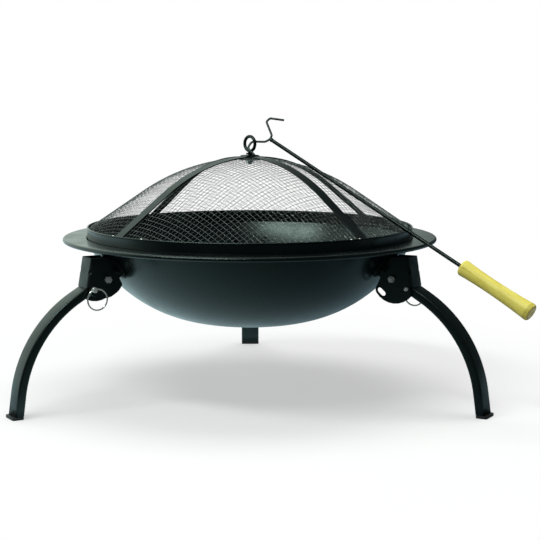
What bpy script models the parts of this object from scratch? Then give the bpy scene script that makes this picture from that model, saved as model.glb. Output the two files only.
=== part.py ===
"""Folding fire pit: a spun steel bowl on three folding legs, a domed spark screen and a poker.

Metres, +Z up, the front of the photograph is -Y. Everything is built about the bowl's axis, with
the ground at z = 0, under one root empty. The root is moved at the end, so that the origin is the
centre of the footprint on the ground.

Each leg has a frame at its pivot: X points away from the bowl, Y runs along the pivot, Z is up.
Cheek A of its bracket is on the +Y side and holds the pin's head; cheek B is the larger one.
"""

import math

import bmesh
import bpy
from mathutils import Matrix, Vector

# Clearances and fineness
GAP = 0.0003
WELD = 0.00001
TURNS = 60
SMALL_TURNS = 12
WIRE_RESOLUTION = 2
CORNER_STEPS = 3
EDGE_STEPS = 4
LOBE_STEPS = 8
SHARP_ANGLE = math.radians(35)

# Bowl
RIM_R = 0.280
RIM_TOP_Z = 0.2365
BOWL_DEPTH = 0.130
BOWL_SHEET = 0.0012
BOWL_FLAT_R = 0.0485
BOWL_WALL_R = 0.216
MOUTH_BEND_R = 0.0025
CURL_R = 0.003
CURL_SWEEP = math.radians(250)
BOLT_FACET = 0.012
CURL_STEPS = 5
MOUTH_STEPS = 2
ABOVE_BOLT_STEPS = 2
BELOW_BOLT_STEPS = 5

# Leg, measured in its own frame
LEG_AZIMUTHS = {"left": math.radians(-60), "right": math.radians(60), "rear": math.radians(180)}
PIVOT_FROM_WALL = 0.0146
PIVOT_BELOW_BOLTS = 0.015
LEG_FALL = math.radians(30)
LEG_WIDTH = 0.030
LEG_DEPTH = 0.013
LEG_WALL = 0.0015
LEG_CORNER_R = 0.003
LEG_CORNER_STEPS = 2
LEG_HEAD = 0.012
LEG_STRAIGHT = 0.0493
LEG_BEND_R = 0.1791
LEG_BEND_STEPS = 8
LEG_FOOT_LEAN = math.radians(8)

# Foot cap
CAP_PLATE = 0.004
CAP_LIP = 0.004
CAP_PLUG = 0.012
CAP_PLUG_PLAY = 0.0005

# Bracket
BRACKET_SHEET = 0.002
CHEEK_PLAY = 0.0005
BRACKET_TOP = 0.0315
BRACKET_BEND_R = 0.004
WEB_X = 0.028
WEB_Z = 0.0119
WEB_LEAN = math.radians(10)
BOWL_EDGE_PLAY = 0.0008
CHEEK_EDGE_START = Vector((-0.0182, 0.0012))
CHEEK_EDGE_ANGLE = math.radians(244.65)
LOBE_CENTRE = Vector((0.0035, -0.0010))
LOBE_R = 0.0342
LOBE_ROUND = 0.008
CHEEK_A_R = 0.024
CHEEK_A_FOOT_CENTRE = Vector((0.0056, 0.0065))
CHEEK_A_FOOT_R = 0.033
TAB_BELOW = 0.013
TAB_ABOVE = 0.015
TAB_REACH = 0.010
TAB_CORNER_R = 0.004
DIMPLE_Z = 0.012
DIMPLE_R = 0.004
DIMPLE_DEPTH = 0.003
DIMPLE_TURNS = 8
DIMPLE_RINGS = 5

# Fasteners
BOLTS_BELOW_RIM = 0.0335
BOLT_BEYOND_CHEEK = 0.0065
BOWL_BOLT_R = 0.0025
BOWL_BOLT_HEAD_R = 0.0045
BOWL_BOLT_HEAD = 0.0026
BOWL_BOLT_HEAD_EDGE = 0.001
BOWL_BOLT_HEAD_ROUND = 0.0016
BOWL_BOLT_HEAD_PLAY = 0.0005
BOWL_NUT_ACROSS = 0.008
BOWL_NUT = 0.004
BOLT_END = 0.0014
BOLT_CHAMFER = 0.0005
PIVOT_R = 0.003
PIVOT_HEAD_ACROSS = 0.009
PIVOT_HEAD = 0.004
PIVOT_NUT_ACROSS = 0.0084
PIVOT_NUT = 0.0042

# Pull pin and its ring
PIVOT_TO_PIN = 0.0255
PIN_R = 0.00325
PIN_TIP = 0.004
PIN_HEAD_R = 0.004
PIN_HEAD = 0.0067
PIN_CHAMFER = 0.0007
PIN_TURN = math.radians(16.5)
FOLD = math.radians(100)
FOLD_SLOT_HALF_WIDTH = 0.00375
FOLD_SLOT_LENGTH = 0.015
LEG_NOTCH_SWEEP = math.radians(34)
RING_R = 0.0150
RING_WIRE_R = 0.001
RING_POINTS = 16

# Lid: band, woven screen and two crossed straps
LID_SEAT_BELOW_RIM = 0.00292
BAND_SHEET = 0.0012
BAND_HEIGHT = 0.0184
BEAD_R = 0.00125
BEAD_STEPS = 5
SCREEN_EDGE_BELOW_BEAD = 0.0021
SCREEN_EDGE_PLAY = 0.0014
DOME_R = 0.285
SHOULDER_R = 0.160
SCREEN_WIRE = 0.0014
SCREEN_PITCH = 0.028
STRAP_WIDTH = 0.0165
STRAP_SHEET = 0.0015
STRAP_END_PLAY = 0.0012
STRAP_ARC_STEPS = 12
STRAP_AZIMUTH = math.radians(40.4)
JOGGLE_FLAT = 0.0095
JOGGLE_END = 0.014

# Eye bolt on top of the lid
EYE_AZIMUTH = math.radians(44)
EYE_R = 0.0109
EYE_WIRE_R = 0.0024
EYE_POINTS = 20
STEM_R = 0.003
STEM_BELOW_NUT = 0.0018
EYE_NUT_ACROSS = 0.010
EYE_NUT = 0.0023
WASHER_R = 0.016
WASHER_SHEET = 0.0012
WASHER_TURNS = 24
LOCK_NUT = 0.004

# Poker, whose own frame has X towards the handle and Z across the two prongs
POKER_FROM_EYE = Vector((0.0348, -0.011, 0.0043))
POKER_AZIMUTH = math.radians(54.63)
POKER_FALL = math.radians(27.6)
POKER_ROLL = math.radians(35.2)
ROD_R = 0.00275
PRONG_R = 0.00165
FORK_CORNERS = [
    (-0.0084, -0.0338),
    (-0.0256, -0.0305),
    (-0.0273, -0.0189),
    (-0.0090, -0.0073),
    (-0.0063, 0.0007),
    (-0.0082, 0.0062),
    (-0.0310, 0.0193),
    (-0.0300, 0.0267),
    (-0.0098, 0.0361),
]
FORK_RADII = [0.006, 0.006, 0.008, 0.005, 0.005, 0.0042, 0.0042]
HOOK_CENTRE = Vector((-0.0185, 0.0, -0.0240))
FORK_ARC_STEPS = 3
HANDLE_START = 0.3564
HANDLE_LENGTH = 0.1195
HANDLE_START_R = 0.012
HANDLE_WAIST_R = 0.0103
HANDLE_END_R = 0.013
HANDLE_WAIST_AT = 0.4
HANDLE_ROUND = 0.004
HANDLE_BORE = 0.060
HANDLE_STEPS = 6
HANDLE_TURNS = 16

# Worked out from the sizes above
BOWL_BOTTOM_Z = RIM_TOP_Z - BOWL_DEPTH
WALL_CENTRE_Z = BOWL_BOTTOM_Z + BOWL_WALL_R
BOLT_Z = RIM_TOP_Z - BOLTS_BELOW_RIM
PIVOT_Z = BOLT_Z - PIVOT_BELOW_BOLTS
LEG_ALONG = Vector((math.cos(LEG_FALL), -math.sin(LEG_FALL)))
LEG_OUT = Vector((math.sin(LEG_FALL), math.cos(LEG_FALL)))
LEG_BEND_CENTRE = LEG_ALONG * LEG_STRAIGHT - LEG_OUT * LEG_BEND_R
PIN_AT = LEG_ALONG * PIVOT_TO_PIN
CHEEK_IN = LEG_WIDTH / 2 + CHEEK_PLAY
CHEEK_OUT = CHEEK_IN + BRACKET_SHEET
BOWL_BOLT_Y = CHEEK_OUT + BOLT_BEYOND_CHEEK
PIN_HOLE_R = PIN_R + GAP
SHOULDER_ANGLE = math.asin(SHOULDER_R / DOME_R)
STRAP_BOTTOM = SCREEN_WIRE / 2 + GAP
STRAP_TOP = STRAP_BOTTOM + STRAP_SHEET
LID_SEAT_Z = RIM_TOP_Z - LID_SEAT_BELOW_RIM
LID_SEAT_WALL_R = BOWL_WALL_R - BOWL_SHEET - GAP
BAND_R = BOWL_FLAT_R + math.sqrt(LID_SEAT_WALL_R**2 - (WALL_CENTRE_Z - LID_SEAT_Z) ** 2)
SCREEN_EDGE_R = BAND_R - BAND_SHEET - SCREEN_EDGE_PLAY
SCREEN_EDGE_Z = BAND_HEIGHT - BEAD_R - SCREEN_EDGE_BELOW_BEAD
DOME_CENTRE_Z = (
    SCREEN_EDGE_Z
    + (SCREEN_EDGE_R - SHOULDER_R) * math.tan(SHOULDER_ANGLE)
    - DOME_R * math.cos(SHOULDER_ANGLE)
)

PAINT = ((0.018, 0.021, 0.021, 1.0), 0.35, 0.0)
ZINC = ((0.55, 0.57, 0.56, 1.0), 0.35, 1.0)
STEEL = ((0.62, 0.62, 0.60, 1.0), 0.25, 1.0)
BLACK_WIRE = ((0.012, 0.014, 0.015, 1.0), 0.25, 0.0)
PLASTIC = ((0.015, 0.016, 0.016, 1.0), 0.5, 0.0)
WOOD = ((0.74, 0.64, 0.26, 1.0), 0.55, 0.0)


# Plane geometry

def arc(centre, radius, start, end, steps):
    """Points on an arc, with both of its ends."""
    angles = [start + (end - start) * i / steps for i in range(steps + 1)]
    return [Vector(centre) + radius * Vector((math.cos(a), math.sin(a))) for a in angles]


def angle_of(vector):
    return math.atan2(vector[1], vector[0])


def meet(point, direction, other, other_direction):
    """Where two lines cross."""
    gap = other - point
    cross = direction.cross(other_direction)
    return point + direction * (gap.cross(other_direction) / cross)


def leave_circle(point, direction, centre, radius):
    """Where a line going along its direction leaves a circle."""
    offset = point - centre
    along = offset.dot(direction)
    return point + direction * (math.sqrt(along**2 - offset.length_squared + radius**2) - along)


def rounded_rectangle(low, high, radius, steps):
    """A rectangle from its low corner to its high one, with round corners."""
    corners = [
        (Vector((high[0] - radius, low[1] + radius)), -math.pi / 2),
        (Vector((high[0] - radius, high[1] - radius)), 0.0),
        (Vector((low[0] + radius, high[1] - radius)), math.pi / 2),
        (Vector((low[0] + radius, low[1] + radius)), math.pi),
    ]
    points = []
    for centre, start in corners:
        points += arc(centre, radius, start, start + math.pi / 2, steps)
    return points


def polygon(across, sides):
    """A regular outline with the given distance across its flats."""
    radius = across / 2 / math.cos(math.pi / sides)
    return arc((0, 0), radius, 0, 2 * math.pi, sides)[:-1]


def arc_slot(radius, half_width, start, end):
    """A slot of even width along an arc about the pivot."""
    near = radius * Vector((math.cos(start), math.sin(start)))
    far = radius * Vector((math.cos(end), math.sin(end)))
    outline = arc((0, 0), radius + half_width, start, end, EDGE_STEPS)
    outline += arc(far, half_width, end, end + math.pi, EDGE_STEPS)[1:]
    outline += arc((0, 0), radius - half_width, end, start, EDGE_STEPS)[1:]
    return outline + arc(near, half_width, start + math.pi, start + 2 * math.pi, EDGE_STEPS)[1:-1]


def rounded_path(corners, radii, steps):
    """A path through corners, each inner one rounded to its radius."""
    points = [Vector(corners[0])]
    for before, corner, after, radius in zip(corners, corners[1:], corners[2:], radii):
        corner = Vector(corner)
        back = (Vector(before) - corner).normalized()
        ahead = (Vector(after) - corner).normalized()
        half = back.angle(ahead) / 2
        centre = corner + (back + ahead).normalized() * radius / math.sin(half)
        start = angle_of(corner + back * radius / math.tan(half) - centre)
        turn = angle_of(corner + ahead * radius / math.tan(half) - centre) - start
        turn = (turn + math.pi) % (2 * math.pi) - math.pi
        points += arc(centre, radius, start, start + turn, steps)
    return points + [Vector(corners[-1])]


# The bowl's wall and the dome, as formulas

def wall_radius(z, offset=0.0):
    """Radius of the bowl's outer face, moved out by an offset, at a height above the ground."""
    return BOWL_FLAT_R + math.sqrt((BOWL_WALL_R + offset) ** 2 - (WALL_CENTRE_Z - z) ** 2)


def pivot_radius():
    return wall_radius(BOLT_Z) + PIVOT_FROM_WALL


def dome_height(radius, offset=0.0):
    """Height of the dome above the lid's lower edge, moved out by an offset."""
    outer = DOME_R + offset
    shoulder = outer * math.sin(SHOULDER_ANGLE)
    if radius <= shoulder:
        return DOME_CENTRE_Z + math.sqrt(outer**2 - radius**2)
    fall = (radius - shoulder) * math.tan(SHOULDER_ANGLE)
    return DOME_CENTRE_Z + outer * math.cos(SHOULDER_ANGLE) - fall


# Solids, each returned as a mesh

def evaluated_mesh(obj):
    """The object's mesh with its modifiers applied; the object is removed."""
    bpy.context.scene.collection.objects.link(obj)
    bpy.context.view_layer.update()
    depsgraph = bpy.context.evaluated_depsgraph_get()
    mesh = bpy.data.meshes.new_from_object(obj.evaluated_get(depsgraph))
    bpy.data.objects.remove(obj)
    return mesh


def welded(mesh):
    """The mesh with its loose caps joined on."""
    bm = bmesh.new()
    bm.from_mesh(mesh)
    bmesh.ops.remove_doubles(bm, verts=bm.verts, dist=WELD)
    bmesh.ops.recalc_face_normals(bm, faces=bm.faces)
    bm.to_mesh(mesh)
    bm.free()
    return mesh


def moved(mesh, matrix):
    mesh.transform(matrix)
    return mesh


def plate(outlines, thickness):
    """A flat plate in the XY plane, centred on z = 0; later outlines are holes."""
    curve = bpy.data.curves.new("outline", "CURVE")
    curve.dimensions = "2D"
    curve.fill_mode = "BOTH"
    curve.extrude = thickness / 2
    for outline in outlines:
        spline = curve.splines.new("POLY")
        spline.points.add(len(outline) - 1)
        spline.use_cyclic_u = True
        for point, place in zip(spline.points, outline):
            point.co = (place[0], place[1], 0, 1)
    return welded(evaluated_mesh(bpy.data.objects.new("outline", curve)))


def side_plate(outline, low_y, high_y):
    """A plate whose outline is given in X and Z, between two values of Y."""
    turn = Matrix.Rotation(math.pi / 2, 4, "X")
    shift = Matrix.Translation((0, (low_y + high_y) / 2, 0))
    return moved(plate([outline], high_y - low_y), shift @ turn)


def turned(profile, steps, closed=False):
    """A profile of radius and height turned about Z."""
    mesh = bpy.data.meshes.new("profile")
    count = len(profile)
    edges = [(i, (i + 1) % count) for i in range(count if closed else count - 1)]
    mesh.from_pydata([(p[0], 0, p[1]) for p in profile], edges, [])
    obj = bpy.data.objects.new("profile", mesh)
    screw = obj.modifiers.new("turn", "SCREW")
    screw.steps = steps
    screw.render_steps = steps
    screw.use_merge_vertices = True
    screw.merge_threshold = WELD
    return evaluated_mesh(obj)


def thickened(mesh, thickness, offset):
    """A sheet given its thickness: offset 0 is to both sides, -1 is inwards."""
    obj = bpy.data.objects.new("sheet", mesh)
    solidify = obj.modifiers.new("sheet", "SOLIDIFY")
    solidify.thickness = thickness
    solidify.offset = offset
    solidify.use_even_offset = True
    return evaluated_mesh(obj)


def wire(points, radius, cyclic=False):
    """A round wire through points."""
    curve = bpy.data.curves.new("wire", "CURVE")
    curve.dimensions = "3D"
    curve.bevel_depth = radius
    curve.bevel_resolution = WIRE_RESOLUTION
    curve.use_fill_caps = True
    spline = curve.splines.new("POLY")
    spline.points.add(len(points) - 1)
    spline.use_cyclic_u = cyclic
    for point, place in zip(spline.points, points):
        point.co = (*place, 1)
    return welded(evaluated_mesh(bpy.data.objects.new("wire", curve)))


def rod(start, end, radius, sides=SMALL_TURNS):
    """A straight round bar between two points; its flats lie at the given radius."""
    start = Vector(start)
    end = Vector(end)
    bm = bmesh.new()
    turn = (end - start).to_track_quat("Z", "Y").to_matrix().to_4x4()
    corner_r = radius / math.cos(math.pi / sides)
    bmesh.ops.create_cone(
        bm,
        cap_ends=True,
        segments=sides,
        radius1=corner_r,
        radius2=corner_r,
        depth=(end - start).length,
        matrix=Matrix.Translation((start + end) / 2) @ turn,
    )
    mesh = bpy.data.meshes.new("rod")
    bm.to_mesh(mesh)
    bm.free()
    return mesh


def dimple_ball(centre, radius):
    """A ball about the point that a dimple is round."""
    bm = bmesh.new()
    bmesh.ops.create_uvsphere(
        bm,
        u_segments=DIMPLE_TURNS,
        v_segments=DIMPLE_RINGS,
        radius=radius,
        matrix=Matrix.Translation(centre),
    )
    mesh = bpy.data.meshes.new("ball")
    bm.to_mesh(mesh)
    bm.free()
    return mesh


def together(meshes):
    """Separate solids in one mesh, to cut with."""
    bm = bmesh.new()
    for mesh in meshes:
        bm.from_mesh(mesh)
    result = bpy.data.meshes.new("together")
    bm.to_mesh(result)
    bm.free()
    return result


def combined(mesh, operation, other):
    """The first solid cut by, joined to or kept inside the second."""
    tool = bpy.data.objects.new("tool", other)
    bpy.context.scene.collection.objects.link(tool)
    obj = bpy.data.objects.new("solid", mesh)
    boolean = obj.modifiers.new("boolean", "BOOLEAN")
    boolean.operation = operation
    boolean.object = tool
    result = evaluated_mesh(obj)
    bpy.data.objects.remove(tool)
    return result


# Frames

def azimuth_matrix(azimuth):
    """X points out at the azimuth, Y goes round the bowl, Z is up."""
    return Matrix.Rotation(azimuth - math.pi / 2, 4, "Z")


def frame_matrix(origin, x_axis, z_axis):
    """A frame from its origin and two of its axes."""
    y_axis = z_axis.cross(x_axis)
    columns = Matrix((x_axis, y_axis, z_axis)).transposed().to_4x4()
    return Matrix.Translation(origin) @ columns


def leg_matrix(azimuth):
    """The frame of one leg's pivot."""
    return azimuth_matrix(azimuth) @ Matrix.Translation((pivot_radius(), 0, PIVOT_Z))


def bolt_matrix(side):
    """In a leg's frame: Z is the wall's outward normal at a bowl bolt, X runs up the wall."""
    radius = wall_radius(BOLT_Z)
    swing = math.asin(side * BOWL_BOLT_Y / radius)
    out = Vector((math.cos(swing), math.sin(swing), 0))
    slope_out = (radius - BOWL_FLAT_R) / BOWL_WALL_R
    slope_down = (WALL_CENTRE_Z - BOLT_Z) / BOWL_WALL_R
    up = Vector((0, 0, 1))
    origin = out * radius - Vector((pivot_radius(), 0, -PIVOT_BELOW_BOLTS))
    return frame_matrix(origin, out * slope_down + up * slope_out, out * slope_out - up * slope_down)


def poker_turn():
    """Rotation of the poker's own frame in the lid's frame."""
    fall = Matrix.Rotation(POKER_FALL, 4, "Y")
    roll = Matrix.Rotation(-POKER_ROLL, 4, "X")
    return azimuth_matrix(POKER_AZIMUTH) @ fall @ roll


# Bowl

def bowl_profile():
    """Middle of the sheet, from the curl's free edge to the centre of the bottom."""
    wall_r = BOWL_WALL_R - BOWL_SHEET / 2
    middle_r = CURL_R - BOWL_SHEET / 2
    bend_z = RIM_TOP_Z - BOWL_SHEET / 2 - MOUTH_BEND_R
    drop = WALL_CENTRE_Z - bend_z
    reach = wall_r + MOUTH_BEND_R
    tilt = math.asin(drop / reach)
    bend = (BOWL_FLAT_R + reach * math.cos(tilt), bend_z)
    half = math.pi / 2
    curl_centre = (RIM_R - CURL_R, RIM_TOP_Z - CURL_R)
    curl = arc(curl_centre, middle_r, half - CURL_SWEEP, half, CURL_STEPS)
    mouth = arc(bend, MOUTH_BEND_R, half, math.pi - tilt, MOUTH_STEPS)
    centre = (BOWL_FLAT_R, WALL_CENTRE_Z)
    bolts = math.asin((WALL_CENTRE_Z - BOLT_Z) / BOWL_WALL_R)
    facet = BOLT_FACET / BOWL_WALL_R / 2
    above = arc(centre, wall_r, -tilt, facet - bolts, ABOVE_BOLT_STEPS)
    below = arc(centre, wall_r, -facet - bolts, -half, BELOW_BOLT_STEPS)
    return curl + mouth + above[1:] + below + [Vector((0, BOWL_BOTTOM_Z + BOWL_SHEET / 2))]


def bolt_hole_mesh(side):
    """What drills a bowl bolt's hole, in a leg's frame."""
    hole = rod((0, 0, -BOWL_NUT), (0, 0, BOWL_NUT), BOWL_BOLT_R + GAP)
    return moved(hole, bolt_matrix(side))


def bowl_mesh():
    shell = thickened(turned(bowl_profile(), TURNS), BOWL_SHEET, 0)
    holes = []
    for azimuth in LEG_AZIMUTHS.values():
        for side in (-1, 1):
            holes.append(moved(bolt_hole_mesh(side), leg_matrix(azimuth)))
    return combined(shell, "DIFFERENCE", together(holes))


# Bracket

def channel_skin(inset=0.0):
    """Plan of what lies inside the bent sheet's outer face, whose web is at x = 0, or of less."""
    back = -2 * LOBE_R
    radius = BRACKET_BEND_R - inset
    x = -BRACKET_BEND_R
    y = CHEEK_OUT - BRACKET_BEND_R
    right = math.pi / 2
    points = [Vector((back, inset - CHEEK_OUT))]
    points += arc((x, -y), radius, -right, 0, CORNER_STEPS)
    points += arc((x, y), radius, 0, right, CORNER_STEPS)
    return points + [Vector((back, CHEEK_OUT - inset))]


def channel_outline():
    """Plan of the bent sheet."""
    back = -2 * LOBE_R
    outer = BRACKET_BEND_R
    inner = BRACKET_BEND_R - BRACKET_SHEET
    y = CHEEK_OUT - outer
    right = math.pi / 2
    points = channel_skin() + [Vector((back, CHEEK_IN))]
    points += arc((-outer, y), inner, right, 0, CORNER_STEPS)
    points += arc((-outer, -y), inner, 0, -right, CORNER_STEPS)
    return points + [Vector((back, -CHEEK_IN))]


def bend_line():
    """Where the cheeks start to bend into the web: a point and the direction down."""
    web_out = Vector((math.cos(WEB_LEAN), math.sin(WEB_LEAN)))
    down = Vector((math.sin(WEB_LEAN), -math.cos(WEB_LEAN)))
    return Vector((WEB_X, WEB_Z)) - web_out * BRACKET_BEND_R, down


def bowl_side_edge():
    """The cheeks' edge along the bowl's wall, from the top down to the ears' lower end."""
    slope = (wall_radius(BOLT_Z) - BOWL_FLAT_R) / BOWL_WALL_R
    fall = PIVOT_BELOW_BOLTS - TAB_BELOW * slope - BRACKET_TOP
    points = []
    for i in range(EDGE_STEPS + 1):
        z = BRACKET_TOP + fall * i / EDGE_STEPS
        points.append(Vector((wall_radius(PIVOT_Z + z, BOWL_EDGE_PLAY) - pivot_radius(), z)))
    return points


def cheek_outline():
    """Side view of the bracket, as large as cheek B."""
    beyond = WEB_X + LEG_WIDTH
    bend, down = bend_line()
    edge = Vector((math.cos(CHEEK_EDGE_ANGLE), math.sin(CHEEK_EDGE_ANGLE)))
    inward = Vector((-edge.y, edge.x))
    round_line = CHEEK_EDGE_START + inward * LOBE_ROUND
    round_centre = leave_circle(round_line, edge, LOBE_CENTRE, LOBE_R - LOBE_ROUND)
    round_start = angle_of(-inward)
    lobe_start = angle_of(round_centre - LOBE_CENTRE)
    round_turn = (lobe_start - round_start) % (2 * math.pi)
    lobe_end = angle_of(leave_circle(bend, down, LOBE_CENTRE, LOBE_R) - LOBE_CENTRE)
    leg_face = LEG_OUT * (LEG_DEPTH / 2 + GAP)
    stop = meet(bend, down, leg_face, LEG_ALONG)
    points = [Vector((beyond, BRACKET_TOP))]
    points += bowl_side_edge()
    points += [CHEEK_EDGE_START]
    points += arc(round_centre, LOBE_ROUND, round_start, round_start + round_turn, CORNER_STEPS)
    points += arc(LOBE_CENTRE, LOBE_R, lobe_start, lobe_end, LOBE_STEPS)[1:]
    return points + [stop, meet(stop, LEG_ALONG, Vector((beyond, 0)), Vector((0, 1)))]


def cheek_a_waste():
    """Side view of what cheek A lacks of cheek B's outline."""
    far = 2 * LOBE_R
    bend, down = bend_line()
    diagonal = -LEG_OUT * CHEEK_A_R
    heel = leave_circle(diagonal, LEG_ALONG, CHEEK_A_FOOT_CENTRE, CHEEK_A_FOOT_R)
    toe = leave_circle(bend, down, CHEEK_A_FOOT_CENTRE, CHEEK_A_FOOT_R)
    start = angle_of(heel - CHEEK_A_FOOT_CENTRE)
    end = angle_of(toe - CHEEK_A_FOOT_CENTRE)
    points = arc((0, 0), CHEEK_A_R, -math.pi, angle_of(diagonal), LOBE_STEPS)
    points += arc(CHEEK_A_FOOT_CENTRE, CHEEK_A_FOOT_R, start, end, LOBE_STEPS)
    points += [Vector((far, toe.y)), Vector((far, -far))]
    return points + [Vector((-far, -far)), Vector((-far, 0))]


def tab_mesh(side):
    """The ear that lies on the bowl's wall and takes one bolt; its free corners are round."""
    cheek = BOWL_BOLT_Y - (CHEEK_IN + CHEEK_OUT) / 2
    low = TAB_CORNER_R - TAB_BELOW
    high = TAB_ABOVE - TAB_CORNER_R
    end = TAB_CORNER_R - TAB_REACH
    points = [(TAB_ABOVE, cheek), (-TAB_BELOW, cheek)]
    points += arc((low, end), TAB_CORNER_R, math.pi, 3 * math.pi / 2, CORNER_STEPS)
    points += arc((high, end), TAB_CORNER_R, -math.pi / 2, 0, CORNER_STEPS)
    outline = [(x, side * y) for x, y in points]
    lift = Matrix.Translation((0, 0, GAP + BRACKET_SHEET / 2))
    return moved(plate([outline], BRACKET_SHEET), bolt_matrix(side) @ lift)


def fold_slot():
    """Side view of the slot in cheek B that faces the folded leg's pin hole."""
    middle = angle_of(PIN_AT) - FOLD
    half = (FOLD_SLOT_LENGTH / 2 - FOLD_SLOT_HALF_WIDTH) / PIVOT_TO_PIN
    return arc_slot(PIVOT_TO_PIN, FOLD_SLOT_HALF_WIDTH, middle - half, middle + half)


def dimple_centre(side):
    """Middle of the ball that dents the bend between the web and one cheek."""
    bend, down = bend_line()
    x = bend.x + (bend.y - DIMPLE_Z) * math.tan(WEB_LEAN)
    corner = Vector((x, side * (CHEEK_OUT - BRACKET_BEND_R), DIMPLE_Z))
    out = Vector((1, side, 0)).normalized()
    return corner + out * (BRACKET_BEND_R + DIMPLE_R - DIMPLE_DEPTH)


def bracket_mesh():
    lean = Matrix.Translation((WEB_X, 0, WEB_Z)) @ Matrix.Rotation(-WEB_LEAN, 4, "Y")
    channel = moved(plate([channel_outline()], 4 * LOBE_R), lean)
    inside = moved(plate([channel_skin(BRACKET_SHEET / 2)], 4 * LOBE_R), lean)
    body = combined(channel, "INTERSECT", side_plate(cheek_outline(), -LEG_WIDTH, LEG_WIDTH))
    pin = Vector((PIN_AT.x, 0, PIN_AT.y))
    across = Vector((0, LEG_WIDTH, 0))
    cuts = [
        side_plate(cheek_a_waste(), CHEEK_IN / 2, LEG_WIDTH),
        side_plate(fold_slot(), -LEG_WIDTH, -CHEEK_IN / 2),
        rod(-across, across, PIVOT_R + GAP),
        rod(pin - across, pin + across, PIN_HOLE_R),
    ]
    for side in (-1, 1):
        body = combined(body, "UNION", tab_mesh(side))
        bulge = dimple_ball(dimple_centre(side), DIMPLE_R + BRACKET_SHEET)
        body = combined(body, "UNION", combined(bulge, "INTERSECT", inside))
        cuts += [dimple_ball(dimple_centre(side), DIMPLE_R), bolt_hole_mesh(side)]
    for cut in cuts:
        body = combined(body, "DIFFERENCE", cut)
    return body


# Leg and foot cap

def leg_knee():
    """Where the leg's curve ends and its straight foot begins."""
    return LEG_BEND_CENTRE + LEG_BEND_R * Vector((math.cos(LEG_FOOT_LEAN), math.sin(LEG_FOOT_LEAN)))


def foot_x(height):
    """X of the leg's centre line at a height above the ground, near the foot."""
    knee = leg_knee()
    return knee.x + (knee.y + PIVOT_Z - height) * math.tan(LEG_FOOT_LEAN)


def leg_skin_mesh():
    """The tube's outer face: straight past the pivot, curved, and straight again at the foot."""
    bm = bmesh.new()
    half = (LEG_DEPTH / 2, LEG_WIDTH / 2)
    section = rounded_rectangle((-half[0], -half[1]), half, LEG_CORNER_R, LEG_CORNER_STEPS)
    head = -LEG_ALONG * LEG_HEAD
    loop = []
    for point in section:
        place = head + LEG_OUT * point.x
        loop.append(bm.verts.new((place.x, point.y, place.y)))
    edges = [bm.edges.new(pair) for pair in zip(loop, loop[1:] + loop[:1])]
    straight = LEG_ALONG * (LEG_HEAD + LEG_STRAIGHT)
    extruded = bmesh.ops.extrude_edge_only(bm, edges=edges)["geom"]
    ring = [item for item in extruded if isinstance(item, bmesh.types.BMVert)]
    bmesh.ops.translate(bm, verts=ring, vec=(straight.x, 0, straight.y))
    spun = bmesh.ops.spin(
        bm,
        geom=[item for item in extruded if isinstance(item, bmesh.types.BMEdge)],
        cent=(LEG_BEND_CENTRE.x, 0, LEG_BEND_CENTRE.y),
        axis=(0, 1, 0),
        angle=angle_of(LEG_OUT) - LEG_FOOT_LEAN,
        steps=LEG_BEND_STEPS,
    )
    last = [item for item in spun["geom_last"] if isinstance(item, bmesh.types.BMEdge)]
    for item in bmesh.ops.extrude_edge_only(bm, edges=last)["geom"]:
        if isinstance(item, bmesh.types.BMVert):
            fall = item.co.z + PIVOT_Z - CAP_PLATE - GAP
            item.co += Vector((fall * math.tan(LEG_FOOT_LEAN), 0, -fall))
    bmesh.ops.remove_doubles(bm, verts=bm.verts, dist=WELD)
    bmesh.ops.recalc_face_normals(bm, faces=bm.faces)
    mesh = bpy.data.meshes.new("leg")
    bm.to_mesh(mesh)
    bm.free()
    return mesh


def leg_mesh():
    """The bent tube with its pivot hole, and the pin's notch open towards its outer face."""
    tube = thickened(leg_skin_mesh(), LEG_WALL, -1)
    across = Vector((0, LEG_WIDTH, 0))
    tube = combined(tube, "DIFFERENCE", rod(-across, across, PIVOT_R + GAP))
    start = angle_of(PIN_AT)
    notch = arc_slot(PIVOT_TO_PIN, PIN_HOLE_R, start, start + LEG_NOTCH_SWEEP)
    return combined(tube, "DIFFERENCE", side_plate(notch, -LEG_WIDTH, LEG_WIDTH))


def foot_cap_mesh():
    """A plate with a lip on its outer side, and a plug that enters the tube."""
    base = CAP_PLATE / 2
    place = Matrix.Translation((foot_x(base), 0, base - PIVOT_Z))
    half = (LEG_DEPTH / 2 / math.cos(LEG_FOOT_LEAN), LEG_WIDTH / 2)
    sole = rounded_rectangle((-half[0], -half[1]), (half[0] + CAP_LIP, half[1]), LEG_CORNER_R, CORNER_STEPS)
    foot = moved(plate([sole], CAP_PLATE), place)
    inset = LEG_WALL + CAP_PLUG_PLAY
    corner = (LEG_DEPTH / 2 - inset, LEG_WIDTH / 2 - inset)
    section = rounded_rectangle((-corner[0], -corner[1]), corner, LEG_CORNER_R / 2, LEG_CORNER_STEPS)
    length = CAP_PLUG + base
    lean = Matrix.Rotation(-LEG_FOOT_LEAN, 4, "Y") @ Matrix.Translation((0, 0, length / 2))
    return combined(foot, "UNION", moved(plate([section], length), place @ lean))


# Fasteners

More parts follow.
